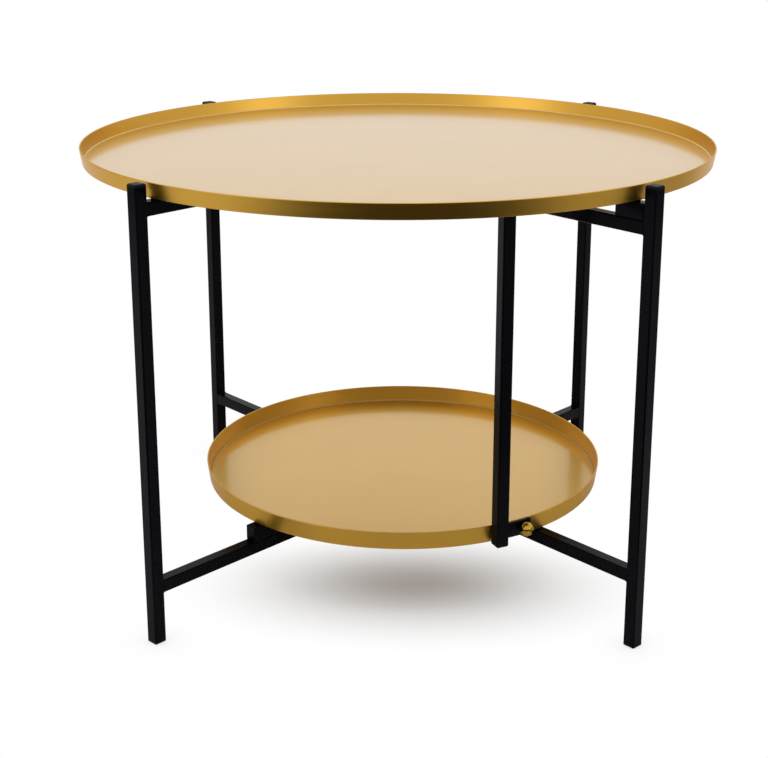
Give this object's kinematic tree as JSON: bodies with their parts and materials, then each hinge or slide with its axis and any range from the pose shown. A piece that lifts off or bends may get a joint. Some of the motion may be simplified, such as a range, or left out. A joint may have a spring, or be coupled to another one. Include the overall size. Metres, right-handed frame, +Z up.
{
  "type": "tiered side table",
  "caption": "Low round side table in tiers: a lift-off tray between the leg tops and a smaller swing-out tray below, on a black folding frame of crossing square-tube loops.",
  "frame": {"origin": "on the floor, below the fold axis through both crossings, in the middle of the table", "axes": "+Z up along the fold axis, -Y towards the viewer of the picture, +X to the viewer's right"},
  "size_m": [0.5999, 0.6, 0.414],
  "materials": {
    "frame_black": "satin black powder coat on steel tube",
    "cap_black": "moulded black nylon",
    "pad_rubber": "matt black rubber",
    "bolt_steel": "zinc-plated steel",
    "tray_gold": "satin gold lacquer on steel sheet",
    "ball_brass": "polished brass"
  },
  "bodies": {
    "frame_a": {"leg_front_left": "frame_black", "leg_back_right": "frame_black", "upper_bar_a": "frame_black", "lower_strut_a": "frame_black", "lower_blocks_a": "frame_black", "leg_caps_a": "cap_black", "foot_glides_a": "cap_black", "upper_pads_a": "pad_rubber", "lower_pads_a": "pad_rubber", "pivot_bolts": "bolt_steel", "pivot_nuts": "bolt_steel", "pivot_washers": "cap_black"},
    "frame_b": {"leg_front_right": "frame_black", "leg_back_left": "frame_black", "upper_bar_b": "frame_black", "lower_strut_b": "frame_black", "upper_blocks_b": "frame_black", "leg_caps_b": "cap_black", "foot_glides_b": "cap_black", "upper_pads_b": "pad_rubber", "lower_pads_b": "pad_rubber", "post_arm": "frame_black", "post_pin": "bolt_steel"},
    "upper_tray": {"upper_tray_floor": "tray_gold", "upper_tray_rim": "tray_gold"},
    "lower_tray": {"lower_tray_floor": "tray_gold", "lower_tray_rim": "tray_gold", "swing_post": "frame_black", "post_bush": "cap_black", "post_end_cap": "cap_black", "rim_bracket": "frame_black", "bracket_screw": "ball_brass", "ball_nut": "ball_brass"}
  },
  "joints": [
    {"name": "frame_fold", "type": "hinge", "parent": "frame_a", "child": "frame_b", "pos_m": [0, 0, 0.067], "axis": [0, 0, 1], "range_deg": [0, 89]},
    {"name": "tray_swing", "type": "hinge", "parent": "frame_b", "child": "lower_tray", "pos_m": [0.09457, -0.18321, 0.384], "axis": [0, 0, 1], "range_deg": [-52, 0]},
    {"name": "tray_lift", "type": "slide", "parent": "frame_a", "child": "upper_tray", "axis": [0, 0, 1], "range_m": [0, 0.15]}
  ]
}
